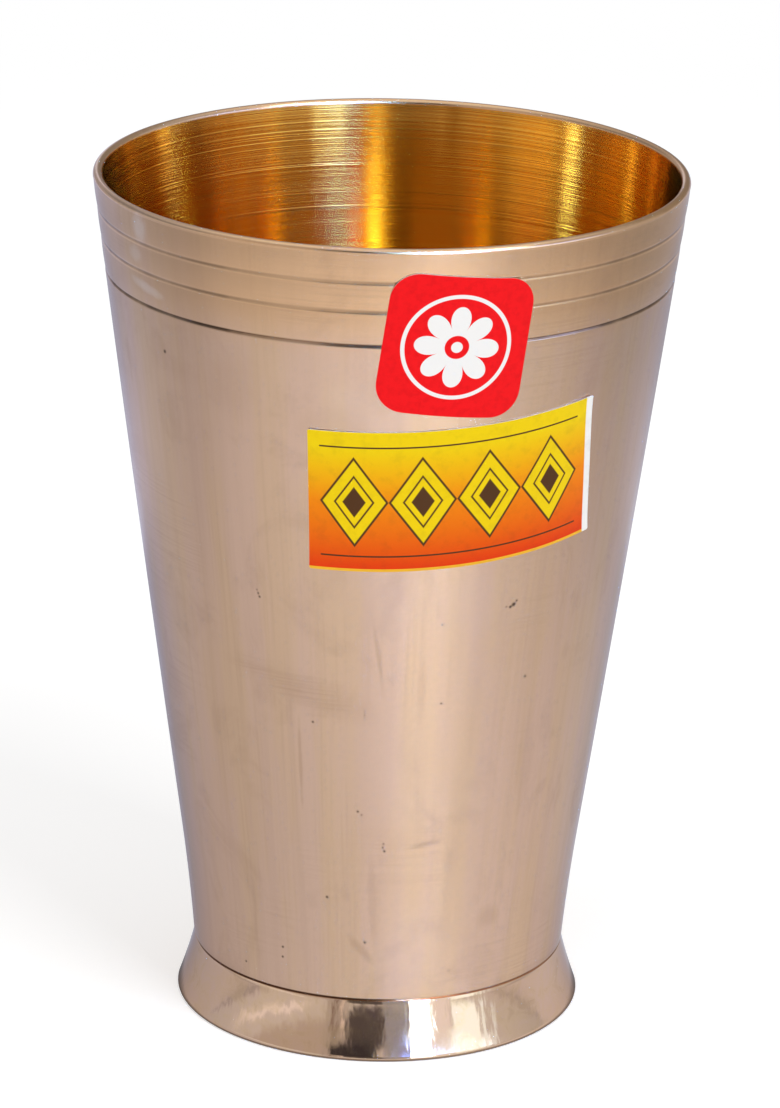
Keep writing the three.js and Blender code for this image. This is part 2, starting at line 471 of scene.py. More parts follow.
# Colours are linear
BRASS_PINK = (0.80, 0.575, 0.44)
# A pale tone used only for the painted sheens
PAINTED_SHEEN_TONE = (0.98, 0.84, 0.73)
BRASS_YELLOW = (0.80, 0.575, 0.395)
BRASS_BAND = (0.83, 0.54, 0.31)
# Gloss tint at grazing angles, greyer and darker than brass: a painted shade at the edges
EDGE_SHADE_TINT = (0.62, 0.60, 0.64)
BRASS_GOLD = (0.83, 0.50, 0.13)
BRASS_DEEP = (0.79, 0.44, 0.09)
TARNISH = (0.30, 0.17, 0.10)
# Tone of the smudges, also used for two patches of painted shade
SMUDGE_AND_SHADE_TONE = (0.34, 0.19, 0.09)
SPECK = (0.11, 0.07, 0.045)
# Painted shade in the grooves and the line at the waist
GROOVE_SHADE = (0.09, 0.05, 0.03)
BRAZING = (0.55, 0.40, 0.17)
BRAZING_DARK = (0.20, 0.13, 0.07)
PAPER_WHITE = (0.94, 0.93, 0.92)
PAPER_FIBRE = (0.78, 0.74, 0.70)
RED_INK = (0.95, 0.004, 0.008)
RED_INK_DARK = (0.80, 0.002, 0.006)
LABEL_YELLOW = (0.92, 0.66, 0.0)
LABEL_ORANGE = (0.93, 0.26, 0.0)
LABEL_RED = (0.80, 0.035, 0.0)
LABEL_BROWN = (0.09, 0.035, 0.01)
LABEL_EDGE_GOLD = (0.93, 0.50, 0.03)
WHITE = (1.0, 1.0, 1.0)

# The label's ground, from its lower edge at 0 to its upper edge at 1
LABEL_GROUND = ((0.0, LABEL_RED), (0.50, LABEL_ORANGE), (0.88, LABEL_YELLOW))


class Tree:
    """A node tree with short calls: each adds a node and gives its output socket."""

    def __init__(self, owner):
        owner.use_nodes = True
        self.nodes = owner.node_tree.nodes
        self.links = owner.node_tree.links
        self.nodes.clear()

    def node(self, kind, **settings):
        made = self.nodes.new(kind)
        for name, value in settings.items():
            setattr(made, name, value)
        return made

    def feed(self, socket, value):
        """Joins an output to an input socket, or sets the input to a number, colour or vector."""
        if isinstance(value, bpy.types.NodeSocket):
            self.links.new(value, socket)
        elif isinstance(value, tuple) and len(value) == 3 and socket.type == "RGBA":
            socket.default_value = (*value, 1)
        else:
            socket.default_value = value

    def outputs(self, kind, *values, **settings):
        """The outputs of a new node, with values fed to its inputs in their order."""
        node = self.node(kind, **settings)
        for socket, value in zip(node.inputs, values):
            self.feed(socket, value)
        return node.outputs

    def math(self, operation, *values):
        return self.outputs("ShaderNodeMath", *values, operation=operation)[0]

    def times(self, a, b):
        return self.math("MULTIPLY", a, b)

    def plus(self, a, b):
        return self.math("ADD", a, b)

    def minus(self, a, b):
        return self.math("SUBTRACT", a, b)

    def over(self, a, b):
        return self.math("DIVIDE", a, b)

    def most(self, a, b):
        return self.math("MAXIMUM", a, b)

    def vector(self, operation, *values):
        outputs = self.outputs("ShaderNodeVectorMath", *values, operation=operation)
        return outputs["Value" if operation in ("LENGTH", "DISTANCE") else "Vector"]

    def split(self, vector):
        return self.outputs("ShaderNodeSeparateXYZ", vector)

    def join(self, x, y, z):
        return self.outputs("ShaderNodeCombineXYZ", x, y, z)[0]

    def grey(self, value):
        return self.join(value, value, value)

    def noise(self, vector, scale, detail=3.0, roughness=0.5, distortion=0.0):
        node = self.node("ShaderNodeTexNoise")
        names = ("Vector", "Scale", "Detail", "Roughness", "Distortion")
        for name, value in zip(names, (vector, scale, detail, roughness, distortion)):
            self.feed(node.inputs[name], value)
        return node.outputs[0]

    def step(self, value, low, high, start=0.0, end=1.0):
        """Goes smoothly from start to end while value goes from low to high."""
        values = (value, low, high, start, end)
        return self.outputs("ShaderNodeMapRange", *values, interpolation_type="SMOOTHSTEP")[0]

    def within(self, value, edge, soft):
        """1 where value is below edge and 0 above it, over a soft edge."""
        return self.step(value, edge - soft, edge + soft, 1.0, 0.0)

    def line(self, value, middle, reach, strength=1.0):
        """Strength where value is near middle and 0 off it: reach is where it fades and ends."""
        off = self.math("ABSOLUTE", self.minus(value, middle))
        return self.step(off, *reach, strength, 0.0)

    def vary(self, pattern, low, high):
        """Goes from low to high with a noise."""
        return self.step(pattern, *NOISE_RANGE, low, high)

    def mix(self, share, a, b, blend="MIX"):
        node = self.node("ShaderNodeMix", data_type="RGBA", blend_type=blend)
        self.feed(node.inputs[0], share)
        self.feed(node.inputs[6], a)
        self.feed(node.inputs[7], b)
        return node.outputs[2]

    def stain(self, tone, colour, pattern, low, high, share=1.0):
        """Lays a colour over a tone, by none to a share of it as a pattern goes from low to high."""
        return self.mix(self.step(pattern, low, high, 0.0, share), tone, colour)

    def ramp(self, value, stops):
        """A colour ramp from (place, colour) pairs."""
        node = self.node("ShaderNodeValToRGB")
        self.feed(node.inputs[0], value)
        elements = node.color_ramp.elements
        elements.remove(elements[0])
        elements[0].position, elements[0].color = stops[-1][0], (*stops[-1][1], 1)
        for place, colour in stops[:-1]:
            elements.new(place).color = (*colour, 1)
        return node.outputs[0]

    def bumps(self, *layers):
        """A normal from bumps laid over each other, each a pattern and its height."""
        normal = None
        for pattern, height in layers:
            node = self.node("ShaderNodeBump")
            self.feed(node.inputs["Height"], pattern)
            self.feed(node.inputs["Distance"], height * MM)
            if normal:
                self.feed(node.inputs["Normal"], normal)
            normal = node.outputs[0]
        return normal

    def place(self):
        """Where a point is, in millimetres in the tumbler's own frame."""
        coordinates = self.outputs("ShaderNodeTexCoord")["Object"]
        return self.vector("MULTIPLY", coordinates, (1 / MM,) * 3)

    def round_noise(self, place, around, up, detail=3.0, roughness=0.5, distortion=0.0):
        """A noise without a seam on a turned surface: around and up are its patterns per mm."""
        x, y, z = self.split(place)
        flat = self.vector("NORMALIZE", self.join(x, y, 0.0))
        nx, ny, _ = self.split(flat)
        wide = self.times(nx, around * MIDDLE_RADIUS)
        deep = self.times(ny, around * MIDDLE_RADIUS)
        place = self.join(wide, deep, self.times(z, up))
        return self.noise(place, 1.0, detail, roughness, distortion)

    def brushed(self, strength):
        """Sockets for gloss drawn out across fine lines that run round the axis."""
        tangent = self.outputs("ShaderNodeTangent", direction_type="RADIAL", axis="Z")[0]
        return dict(Anisotropic=strength, Anisotropic_Rotation=QUARTER_TURN, Tangent=tangent)

    def glow(self, tone, strength):
        return self.outputs("ShaderNodeEmission", tone, strength)[0]

    def shader_mix(self, share, a, b):
        return self.outputs("ShaderNodeMixShader", share, a, b)[0]

    def surface(self, shader, output="ShaderNodeOutputMaterial"):
        self.feed(self.node(output).inputs["Surface"], shader)

    def principled(self, **sockets):
        """Joins a Principled shader to the output. Socket names are written with underscores."""
        shader = self.node("ShaderNodeBsdfPrincipled")
        for name, value in sockets.items():
            self.feed(shader.inputs[name.replace("_", " ")], value)
        self.surface(shader.outputs[0])


def material(name):
    made = bpy.data.materials.new(name)
    return made, Tree(made)


def azimuth_of(tree, x, y):
    """The direction of (x, y) seen from above, in degrees: 0 to -Y and 90 to +X."""
    turn = tree.math("ARCTAN2", x, tree.times(y, -1.0))
    return tree.times(turn, math.degrees(1))


def off_from(tree, azimuth, middle):
    """How far an azimuth is from a middle one, in degrees, the short way round."""
    off = tree.minus(azimuth, middle)
    return tree.math("ABSOLUTE", tree.math("WRAP", off, 180.0, -180.0))


def toward(tree, azimuth, middle, half, strength=1.0):
    """Strength in a middle direction, falling to 0 half degrees off it."""
    return tree.step(off_from(tree, azimuth, middle), 0, half, strength, 0.0)


# How far a mark reaches at full strength and at none, as shares of its half size, and how far a
# noise pushes its edge in and out
MARK_CORE = 0.2
MARK_EDGE = 1.1
MARK_RAGGED = 2.0

# How soft the edge of a speck is, as a share of its radius, and how well it covers the brass
SPECK_SOFT = 0.5
SPECK_COVER = 0.9

# Painted shade in a groove: how far from its middle it fades and ends, and where in a noise it grows
# from what share to what
GROOVE_SHADE_REACH = (0.06, 0.40)
GROOVE_SHADE_UNEVEN = (0.35, 0.62, 0.35, 1)

# Painted shade in the line at the waist: how soft its upper edge is, and where it thins and grows
# again towards the right, as shares of the radius with the darkness before and after
WAIST_SHADE_EDGE = 0.1
WAIST_SHADE_THINS = (-0.05, 0.16, 0.75, 0.06)
WAIST_SHADE_GROWS = (0.3, 0.6, 0.0, 0.08)

# How yellow the bands under the rim are, at their left and elsewhere, where that changes as
# shares of the radius, and the height over the lowest groove at which it sets in
BAND_YELLOW = (0.25, 0.9)
BAND_YELLOW_SIDE = (-0.85, -0.45)
BAND_YELLOW_RISE = (-3, 5)

# Brown specks on the wall's front: angle round from the front, height, radius
SPECKS = (
    (-43.7, 11.2, 0.15), (-29.4, 13.8, 0.16), (-29.2, 15.4, 0.17), (-3.7, 17.85, 0.18),
    (-14.6, 24.7, 0.19), (1.4, 32.6, 0.17), (0.9, 33.2, 0.13), (1.1, 33.8, 0.12),
    (-5.8, 38.8, 0.16), (-4.8, 38.3, 0.13), (-17.1, 52.3, 0.16), (-4.2, 53.4, 0.09),
    (-4.2, 54.0, 0.11), (-4.2, 54.6, 0.09), (14.4, 55.7, 0.15), (36.6, 58.1, 0.18),
    (13.5, 67.9, 0.13), (29.0, 69.6, 0.12), (30.1, 69.5, 0.22), (30.9, 69.8, 0.30),
    (31.6, 70.3, 0.16), (-29.4, 70.4, 0.16), (-29.7, 70.9, 0.15), (-30.0, 71.4, 0.11),
    (-51.1, 103.8, 0.24),
)

# Smudges on the wall's front, the two high up at -12 and -33 degrees being painted shade: angle,
# height, half width, half height, lean, strength
SMUDGES_AND_SHADES = (
    (12.5, 33.6, 3.3, 0.65, 14, 0.26),
    (34, 20.4, 2.4, 2.4, 0, 0.16),
    (-4.5, 16.5, 0.9, 3.4, 38, 0.20),
    (-1.5, 23, 0.7, 8, 2, 0.12),
    (-20.8, 46, 0.35, 8, 0, 0.20),
    (-1.2, 64, 0.45, 8.5, 8, 0.16),
    (9.5, 57, 0.8, 6, 0, 0.09),
    (-20, 57, 12, 3.2, -16, 0.12),
    (-12, 97, 6, 4, 0, 0.09),
    (22, 12.75, 0.5, 0.5, 0, 0.30),
    (40, 44, 1.6, 10, 0, 0.08),
    (-33, 101.5, 5, 6.5, 0, 0.10),
)

# Painted sheens, paler patches near the rim that stand in for reflections, and patches of fine lines
# that run round, in the same columns
PAINTED_SHEENS = (
    (-55.5, 121.2, 2.2, 2.6, 0, 0.60),
    (-58, 116.8, 2, 1.4, 0, 0.35),
    (-55, 112.4, 4.2, 0.9, -8, 0.50),
    (-6, 99, 6, 6, 0, 0.10),
)
HATCHES = (
    (-20.5, 57, 8.5, 3.4, -10, 0.13),
    (-31, 59.5, 5, 2, -8, 0.10),
    (24, 12, 9, 2.2, 4, 0.08),
)


def specks(tree, place):
    """How well the small brown specks of the wall cover it at a place."""
    found = 0.0
    for angle, z, radius in SPECKS:
        turn = math.radians(angle)
        r = wall_radius(z)
        centre = (r * math.sin(turn), -r * math.cos(turn), z)
        away = tree.vector("DISTANCE", place, centre)
        found = tree.most(found, tree.within(away, radius, radius * SPECK_SOFT))
    return tree.times(found, SPECK_COVER)


def marks(tree, place, ragged, table):
    """How strong a table's marks are at a place of the wall, with edges made ragged by a noise."""
    x, y, height = tree.split(place)
    azimuth = azimuth_of(tree, x, y)
    push = tree.times(tree.minus(ragged, 0.5), MARK_RAGGED)
    found = 0.0
    for angle, z, wide, high, lean, strength in table:
        side = math.sin(math.radians(lean))
        ahead = math.cos(math.radians(lean))
        off = tree.times(tree.minus(azimuth, angle), math.radians(wall_radius(z)))
        up = tree.minus(height, z)
        along = tree.math("MULTIPLY_ADD", off, ahead, tree.times(up, side))
        across = tree.math("MULTIPLY_ADD", off, -side, tree.times(up, ahead))
        flat = tree.join(tree.over(along, wide), tree.over(across, high), 0.0)
        reach = tree.plus(tree.vector("LENGTH", flat), push)
        found = tree.most(found, tree.step(reach, MARK_CORE, MARK_EDGE, strength, 0.0))
    return found


def groove_shade(tree, place):
    """Painted shade in the turned grooves and in the line at the waist, uneven round the wall."""
    x, _, height = tree.split(place)
    uneven = tree.step(tree.round_noise(place, *GROOVE_SHADE_PATCH), *GROOVE_SHADE_UNEVEN)
    found = 0.0
    for drop, _, _, strength in GROOVES:
        line = tree.line(height, HEIGHT - drop, GROOVE_SHADE_REACH, strength)
        found = tree.most(found, tree.times(line, uneven))
    waist_top = FOOT_HEIGHT + WAIST_CHAMFER
    waist = tree.step(height, waist_top, waist_top + WAIST_SHADE_EDGE, 1.0, 0.0)
    sideways = tree.over(x, WAIST_RADIUS)
    dark = tree.step(sideways, *WAIST_SHADE_THINS)
    dark = tree.plus(dark, tree.step(sideways, *WAIST_SHADE_GROWS))
    return tree.most(found, tree.times(waist, dark))


def band_yellow(tree, place):
    """How much yellower the bands under the rim are than the wall below them."""
    x, _, height = tree.split(place)
    sideways = tree.over(x, RIM_RADIUS)
    yellow = tree.step(sideways, *BAND_YELLOW_SIDE, *BAND_YELLOW)
    above = tree.minus(height, HEIGHT - GROOVES[-1][0])
    return tree.times(tree.step(above, *BAND_YELLOW_RISE), yellow)


def outside_brass():
    """Polished wall outside: pinkish brass with wipe marks, faint streaks, specks and turning,
    painted sheens near the rim, and painted shade in its grooves and in two smudge patches.
    """
    made, tree = material("outside_brass")
    place = tree.place()
    cloud = tree.round_noise(place, *WALL_CLOUD)
    streak = tree.round_noise(place, *WALL_STREAK)
    wipe = tree.round_noise(place, *WALL_WIPE)
    hair = tree.round_noise(place, *WALL_HAIR)
    lines = tree.round_noise(place, *WALL_LINES)
    patch = tree.round_noise(place, *WALL_PATCH)
    tone = tree.stain(BRASS_PINK, BRASS_YELLOW, cloud, *WALL_CLOUD_STAIN)
    tone = tree.mix(band_yellow(tree, place), tone, BRASS_BAND)
    tone = tree.stain(tone, TARNISH, streak, *WALL_STREAK_STAIN)
    tone = tree.stain(tone, TARNISH, wipe, *WALL_WIPE_STAIN)
    hatched = tree.step(patch, *WALL_PATCH_SHOW)
    hatched = tree.most(hatched, marks(tree, place, wipe, HATCHES))
    hatched = tree.times(tree.step(lines, *WALL_LINE_SHOW), hatched)
    tone = tree.mix(hatched, tone, TARNISH)
    # Paler patches of painted sheen, standing in for reflections
    tone = tree.mix(marks(tree, place, wipe, PAINTED_SHEENS), tone, PAINTED_SHEEN_TONE)
    brushed = tree.step(cloud, *WALL_CLOUD_SHOW)
    brushed = tree.times(tree.step(hair, *WALL_HAIR_SHOW), brushed)
    tone = tree.mix(brushed, tone, TARNISH)
    # Smudges, two of them painted shade high on the wall
    tone = tree.mix(marks(tree, place, wipe, SMUDGES_AND_SHADES), tone, SMUDGE_AND_SHADE_TONE)
    tone = tree.mix(specks(tree, place), tone, SPECK)
    # Painted shade in the grooves and at the waist
    tone = tree.mix(groove_shade(tree, place), tone, GROOVE_SHADE)
    tree.principled(
        Base_Color=tone,
        Metallic=1.0,
        Roughness=tree.vary(wipe, *WALL_ROUGHNESS),
        # The edge tint paints shade at grazing angles
        Specular_Tint=EDGE_SHADE_TINT,
        Normal=tree.bumps((lines, WALL_LINE_BUMP), (streak, WALL_STREAK_BUMP)),
        **tree.brushed(WALL_BRUSHING),
    )
    return made


def inside_brass():
    """The wall's golden inside, left as turned, with fine lines that run round."""
    made, tree = material("inside_brass")
    place = tree.place()
    lines = tree.round_noise(place, *BORE_LINES)
    waves = tree.round_noise(place, *BORE_WAVES)
    cloud = tree.round_noise(place, *BORE_CLOUD)
    rings = tree.step(tree.round_noise(place, *BORE_RINGS), *BORE_RING_SHOW)
    tone = tree.stain(BRASS_GOLD, BRASS_DEEP, cloud, *NOISE_RANGE)
    tone = tree.stain(tone, TARNISH, lines, *BORE_LINE_STAIN)
    bumps = ((lines, BORE_LINE_BUMP), (rings, BORE_RING_BUMP), (waves, BORE_WAVE_BUMP))
    tree.principled(
        Base_Color=tone,
        Metallic=1.0,
        Roughness=tree.vary(lines, *BORE_ROUGHNESS),
        Normal=tree.bumps(*bumps),
        **tree.brushed(BORE_BRUSHING),
    )
    return made


def foot_brass():
    """The foot ring's mirror polish, with faint wipe marks and fine scratches."""
    made, tree = material("foot_brass")
    place = tree.place()
    smear = tree.round_noise(place, *FOOT_SMEAR)
    waves = tree.round_noise(place, *FOOT_WAVES)
    scratches = tree.round_noise(place, *FOOT_SCRATCHES)
    tone = tree.stain(BRASS_PINK, BRASS_YELLOW, smear, *FOOT_CLOUD_STAIN)
    tone = tree.stain(tone, TARNISH, smear, *FOOT_SMEAR_STAIN)
    tree.principled(
        Base_Color=tone,
        Metallic=1.0,
        Roughness=tree.step(smear, *FOOT_SMEAR_SHOW, *FOOT_ROUGHNESS),
        # The edge tint paints shade at grazing angles
        Specular_Tint=EDGE_SHADE_TINT,
        Normal=tree.bumps((waves, FOOT_WAVE_BUMP), (scratches, FOOT_SCRATCH_BUMP)),
    )
    return made


def turned_brass(name, tone, dark, roughness):
    """Brass as the lathe left it, with rings round the axis, for the floor and hidden faces."""
    made, tree = material(name)
    place = tree.place()
    x, y, z = tree.split(place)
    radius = tree.vector("LENGTH", tree.join(x, y, 0.0))
    rings = tree.noise(tree.join(radius, 0.0, z), *TURNED_RINGS)
    cloud = tree.noise(place, *TURNED_CLOUD)
    colour = tree.stain(tone, dark, cloud, *TURNED_CLOUD_STAIN)
    colour = tree.stain(colour, TARNISH, rings, *TURNED_RING_STAIN)
    tree.principled(
        Base_Color=colour,
        Metallic=1.0,
        Roughness=tree.vary(rings, *roughness),
        Normal=tree.bumps((rings, TURNED_RING_BUMP)),
    )
    return made


def brazing_metal():
    """Brazing metal as it set: duller and yellower than the brass, with dark flux in its pits."""
    made, tree = material("brazing_metal")
    place = tree.place()
    lumps = tree.noise(place, *BRAZING_LUMPS)
    pits = tree.noise(place, *BRAZING_PITS)
    tree.principled(
        Base_Color=tree.stain(BRAZING, BRAZING_DARK, pits, *BRAZING_PIT_STAIN),
        Metallic=1.0,
        Roughness=tree.vary(lumps, *BRAZING_ROUGHNESS),
        Normal=tree.bumps((lumps, BRAZING_LUMP_BUMP)),
    )
    return made


def paper_edge():
    """The cut edge and the back of the paper, white with fibres."""
    made, tree = material("paper_edge")
    grain = tree.noise(tree.place(), *CUT_EDGE_GRAIN)
    tone = tree.stain(PAPER_WHITE, PAPER_FIBRE, grain, *NOISE_RANGE)
    tree.principled(Base_Color=tone, Roughness=CUT_EDGE_ROUGHNESS)
    return made


def sheet_place(tree, sticker):
    """Where a point of a sticker is on its flat sheet, in millimetres from the centre."""
    u, v, _ = tree.split(tree.outputs("ShaderNodeUVMap", uv_map=SHEET_MAP)[0])
    x = tree.times(tree.minus(u, 0.5), sticker["width"])
    y = tree.times(tree.minus(v, 0.5), sticker["height"])
    return x, y


def red_print():
    """Red sticker paper with a plain white eight-petalled rosette inside a thin ring."""
    made, tree = material("red_print")
    x, y = sheet_place(tree, RED_STICKER)
    flat = tree.join(x, y, 0.0)
    from_centre = tree.vector("LENGTH", flat)
    turn = tree.times(tree.math("ARCTAN2", y, x), ROSETTE_PETALS / 2)
    wave = tree.math("SQRT", tree.math("ABSOLUTE", tree.math("COSINE", turn)))
    reach = tree.math("MULTIPLY_ADD", wave, ROSETTE_REACH - ROSETTE_WAIST, ROSETTE_WAIST)
    petals = tree.within(tree.minus(from_centre, reach), 0.0, ROSETTE_SOFT)
    past_eye = tree.step(from_centre, ROSETTE_EYE - ROSETTE_SOFT, ROSETTE_EYE + ROSETTE_SOFT)
    dot = tree.within(from_centre, ROSETTE_DOT, ROSETTE_SOFT)
    ring = tree.line(from_centre, ROSETTE_RING, ROSETTE_RING_REACH)
    white = tree.most(tree.most(tree.times(petals, past_eye), dot), ring)
    mottle = tree.noise(flat, *RED_MOTTLE)
    ink = tree.stain(RED_INK, RED_INK_DARK, mottle, *RED_MOTTLE_STAIN)
    tree.principled(
        Base_Color=tree.mix(white, ink, PAPER_WHITE),
        Roughness=tree.vary(mottle, *RED_ROUGHNESS),
        Specular_IOR_Level=PAPER_SPECULAR,
        Normal=tree.bumps((tree.noise(flat, *PAPER_GRAIN), PAPER_GRAIN_BUMP)),
    )
    return made


def lozenge_row(tree, x, y):
    """The label's lozenges, as where their ground is yellow and where they have dark lines."""
    along = tree.plus(x, LABEL_MARGIN / 2)
    half_width = LOZENGE_WIDTH / 2
    from_first = tree.plus(along, (LOZENGES - 1) * half_width)
    across = tree.over(tree.math("PINGPONG", from_first, half_width), half_width)
    tall = tree.over(tree.math("ABSOLUTE", y), LOZENGE_HEIGHT / 2)
    out = tree.plus(across, tall)
    row = tree.within(tree.math("ABSOLUTE", along), LOZENGES * half_width, LOZENGE_ROW_SOFT)
    ground = tree.times(tree.within(out, LOZENGE_GROUND, LOZENGE_SOFT), row)
    outline = tree.line(out, LOZENGE_OUTLINE, LOZENGE_OUTLINE_REACH)
    inner_line = tree.line(out, LOZENGE_INNER, LOZENGE_INNER_REACH)
    heart = tree.within(out, LOZENGE_HEART, LOZENGE_SOFT)
    rule = tree.line(tree.math("ABSOLUTE", y), LABEL_RULE, LABEL_RULE_REACH)
    dark = tree.most(heart, tree.most(outline, inner_line))
    dark = tree.times(tree.most(dark, rule), row)
    return ground, dark


def label_print():
    """The label: yellow to red paper with a row of outlined lozenges between two thin rules."""
    made, tree = material("label_print")
    x, y = sheet_place(tree, PRINTED_LABEL)
    up = tree.plus(tree.over(y, PRINTED_LABEL["height"]), 0.5)
    yellow, dark = lozenge_row(tree, x, y)
    tone = tree.mix(yellow, tree.ramp(up, LABEL_GROUND), LABEL_YELLOW)
    tone = tree.mix(dark, tone, LABEL_BROWN)
    from_edge = tree.plus(y, PRINTED_LABEL["height"] / 2)
    tone = tree.mix(tree.within(from_edge, LABEL_EDGE, LABEL_EDGE_SOFT), tone, LABEL_EDGE_GOLD)
    margin = PRINTED_LABEL["width"] / 2 - LABEL_MARGIN
    tone = tree.stain(tone, PAPER_WHITE, x, margin - LABEL_EDGE_SOFT, margin + LABEL_EDGE_SOFT)
    mottle = tree.noise(tree.join(x, y, 0.0), *LABEL_MOTTLE)
    tree.principled(
        Base_Color=tree.stain(tone, LABEL_BROWN, mottle, *LABEL_MOTTLE_STAIN),
        Roughness=tree.vary(mottle, *LABEL_ROUGHNESS),
        Specular_IOR_Level=PAPER_SPECULAR,
        Normal=tree.bumps((mottle, LABEL_MOTTLE_BUMP)),
    )
    return made


# The pieces


def tapered_wall():
    centre = (RIM_RADIUS - WALL_THICKNESS / 2, WALL_TOP)
    rim = arc(centre, WALL_THICKNESS / 2, 0, 180, RIM_STEPS)
    heights = spread(FOOT_HEIGHT, WALL_TOP - BORE_TOP_DROP, BORE_STEPS)
    inside = [(wall_bore(z), z) for z in reversed(heights)]
    runs = ((wall_outside() + rim, 0), (inside, 1))
    return turned("tapered_wall_look", runs, (outside_brass(), inside_brass()))


def floor_disc():
    heights = spread(FOOT_HEIGHT, FLOOR_TOP, DISC_EDGE_STEPS)
    edge = [(wall_bore(z) - PIECE_PLAY, z) for z in heights]
    below = [(r, FOOT_HEIGHT) for r in spread(0, edge[0][0], DISC_STEPS)]
    above = [(r, FLOOR_TOP) for r in reversed(spread(0, edge[-1][0], DISC_STEPS))]
    runs = ((below, 1), (edge, 1), (above, 0))
    materials = (
        turned_brass("floor_brass", BRASS_GOLD, BRASS_DEEP, FLOOR_ROUGHNESS),
        turned_brass("underside_brass", BRASS_YELLOW, BRASS_DEEP, UNDERSIDE_ROUGHNESS),
    )
    return turned("floor_disc_look", runs, materials)


def foot_ring():
    edge_centre = (FOOT_RADIUS - FOOT_EDGE_RADIUS, FOOT_EDGE_RADIUS)
    tilt = math.degrees(math.atan((FOOT_RADIUS - WAIST_RADIUS) / FOOT_HEIGHT))
    edge = arc(edge_centre, FOOT_EDGE_RADIUS, -90, tilt / 2, FOOT_EDGE_STEPS)
    top = FOOT_HEIGHT - WAIST_CHAMFER
    flare = []
    for up in spread(0, 1, FLARE_STEPS)[1:]:
        radius = lerp(edge[-1][0], WAIST_RADIUS, up) - FOOT_FLARE_HOLLOW * hump(up)
        flare.append((radius, lerp(edge[-1][1], top, up)))
    lip = [(WAIST_RADIUS - depth, FOOT_HEIGHT - down) for depth, down in WAIST_LIP]
    bore = [(foot_bore(z), z) for z in spread(FOOT_HEIGHT, FOOT_BORE_CHAMFER, FOOT_BORE_STEPS)]
    bore_edge = (foot_bore(0) + FOOT_BORE_CHAMFER, 0)
    runs = (([bore_edge], 1), (edge + flare, 0), (lip, 0), (bore + [bore_edge], 1))
    hidden = turned_brass("bore_brass", BRASS_YELLOW, BRASS_DEEP, FOOT_BORE_ROUGHNESS)
    return turned("foot_ring_look", runs, (foot_brass(), hidden))


def bead(name, flat, bore, leg, way, look):
    """A bead of brazing metal in the corner of a bore and a flat, with an uneven hollow face.

    It reaches leg along both, above the flat where way is 1 and under it where way is -1.
    """

    def point(x, y):
        return bore(flat + way * y) - PIECE_PLAY + x, flat + way * y

    corner = point(0, 0)
    profile = [corner] + [point(x, y) for x, y in arc((-leg, leg), leg, 0, -90, BEAD_STEPS)]
    if way < 0:
        profile.reverse()

    def wobble(radius, height, angle):
        depth = min(corner[0] - radius, abs(corner[1] - height)) / leg
        waves = [share * math.sin(count * angle + phase) for count, phase, share in BEAD_WAVES]
        push = BEAD_RIPPLE * max(0.0, depth) * (sum(waves) - 1)
        return radius + push, height + way * abs(push) * 0.5

    return turned(name, ((profile, 0),), (look,), wobble)


def dress(piece, node):
    """Lets a piece stand for a CAD node: hangs it on the root body and hides the node."""
    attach(piece, "root")
    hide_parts(node)


def make_pieces():
    edge = paper_edge()
    brazing = brazing_metal()
    dress(tapered_wall(), "tapered_wall")
    dress(floor_disc(), "floor_disc")
    dress(foot_ring(), "foot_ring")
    floor_bead = bead("floor_bead_look", FLOOR_TOP, wall_bore, FLOOR_BEAD_LEG, 1, brazing)
    dress(floor_bead, "floor_braze_bead")
    foot_bead = bead("foot_bead_look", FOOT_HEIGHT, foot_bore, FOOT_BEAD_LEG, -1, brazing)
    dress(foot_bead, "foot_braze_bead")
    red = paper("red_sticker_look", RED_STICKER, red_print(), edge)
    dress(red, "red_sticker")
    label = paper("printed_label_look", PRINTED_LABEL, label_print(), edge)
    dress(label, "printed_label")


# The studio

# The floor's tone, the white laid over it for the camera, its size and where the plain backdrop
# takes over. Then the even level of the room for matt surfaces
FLOOR_ALBEDO = (0.88,) * 3
FLOOR_VEIL = 0.34
FLOOR_RADIUS = 3000
FLOOR_FADE = (250, 600)
ROOM_LEVEL = 0.6

# Soft lamps: name, place, power, and whether gloss shows them
SOFTBOX_SIZE = 900
SOFTBOXES = (
    ("key_softbox", (900, -1100, 1300), 13, True),
    ("fill_softbox", (-1200, -700, 900), 5, False),
)

# The floor's painted light and shade in gloss, at the sides and behind, by the direction from the
# tumbler: 0 is the front and 90 is +X. Then where one turns to the other, and where left turns to
# right behind
FLOOR_SIDE = (0.60, 0.57, 0.575)
FLOOR_BACK_LEFT = (0.57, 0.63, 0.80)
FLOOR_BACK_RIGHT = (0.68, 0.74, 0.86)
FLOOR_BEHIND = (80, 150)
FLOOR_ACROSS = (-0.6, 0.6)

# Light on it in front and under the key lamp: direction, half width and strength
FLOOR_FRONT = (2, 95, 0.23)
FLOOR_KEY = (20, 28, 0.28)

# Its painted level by the distance: near the tumbler, with its left and right sides, then as it
# falls far off and rises further away, from what to what, and in the foot's own painted shadow
FLOOR_NEAR = (50, 190)
FLOOR_NEAR_GAIN = 0.6
FLOOR_NEAR_SIDES = (0.90, 1.14)
FLOOR_FAR = (200, 330, 1, 0.66)
FLOOR_AWAY = (370, 560, 0, 0.34)
FLOOR_SHADE_WIDTH = 4
FLOOR_SHADE_LEVEL = 0.35

# Painted paler and darker stretches of that floor in gloss: direction, half width, where they start
# and are full, and by what share they change its level
FLOOR_PATCHES = (
    (8, 80, (184, 197), 0.20),
    (-155, 55, (180, 212), 0.60),
    (150, 30, (180, 212), 0.35),
    (-86, 25, (120, 185), -0.13),
    (104, 34, (145, 180), -0.14),
)

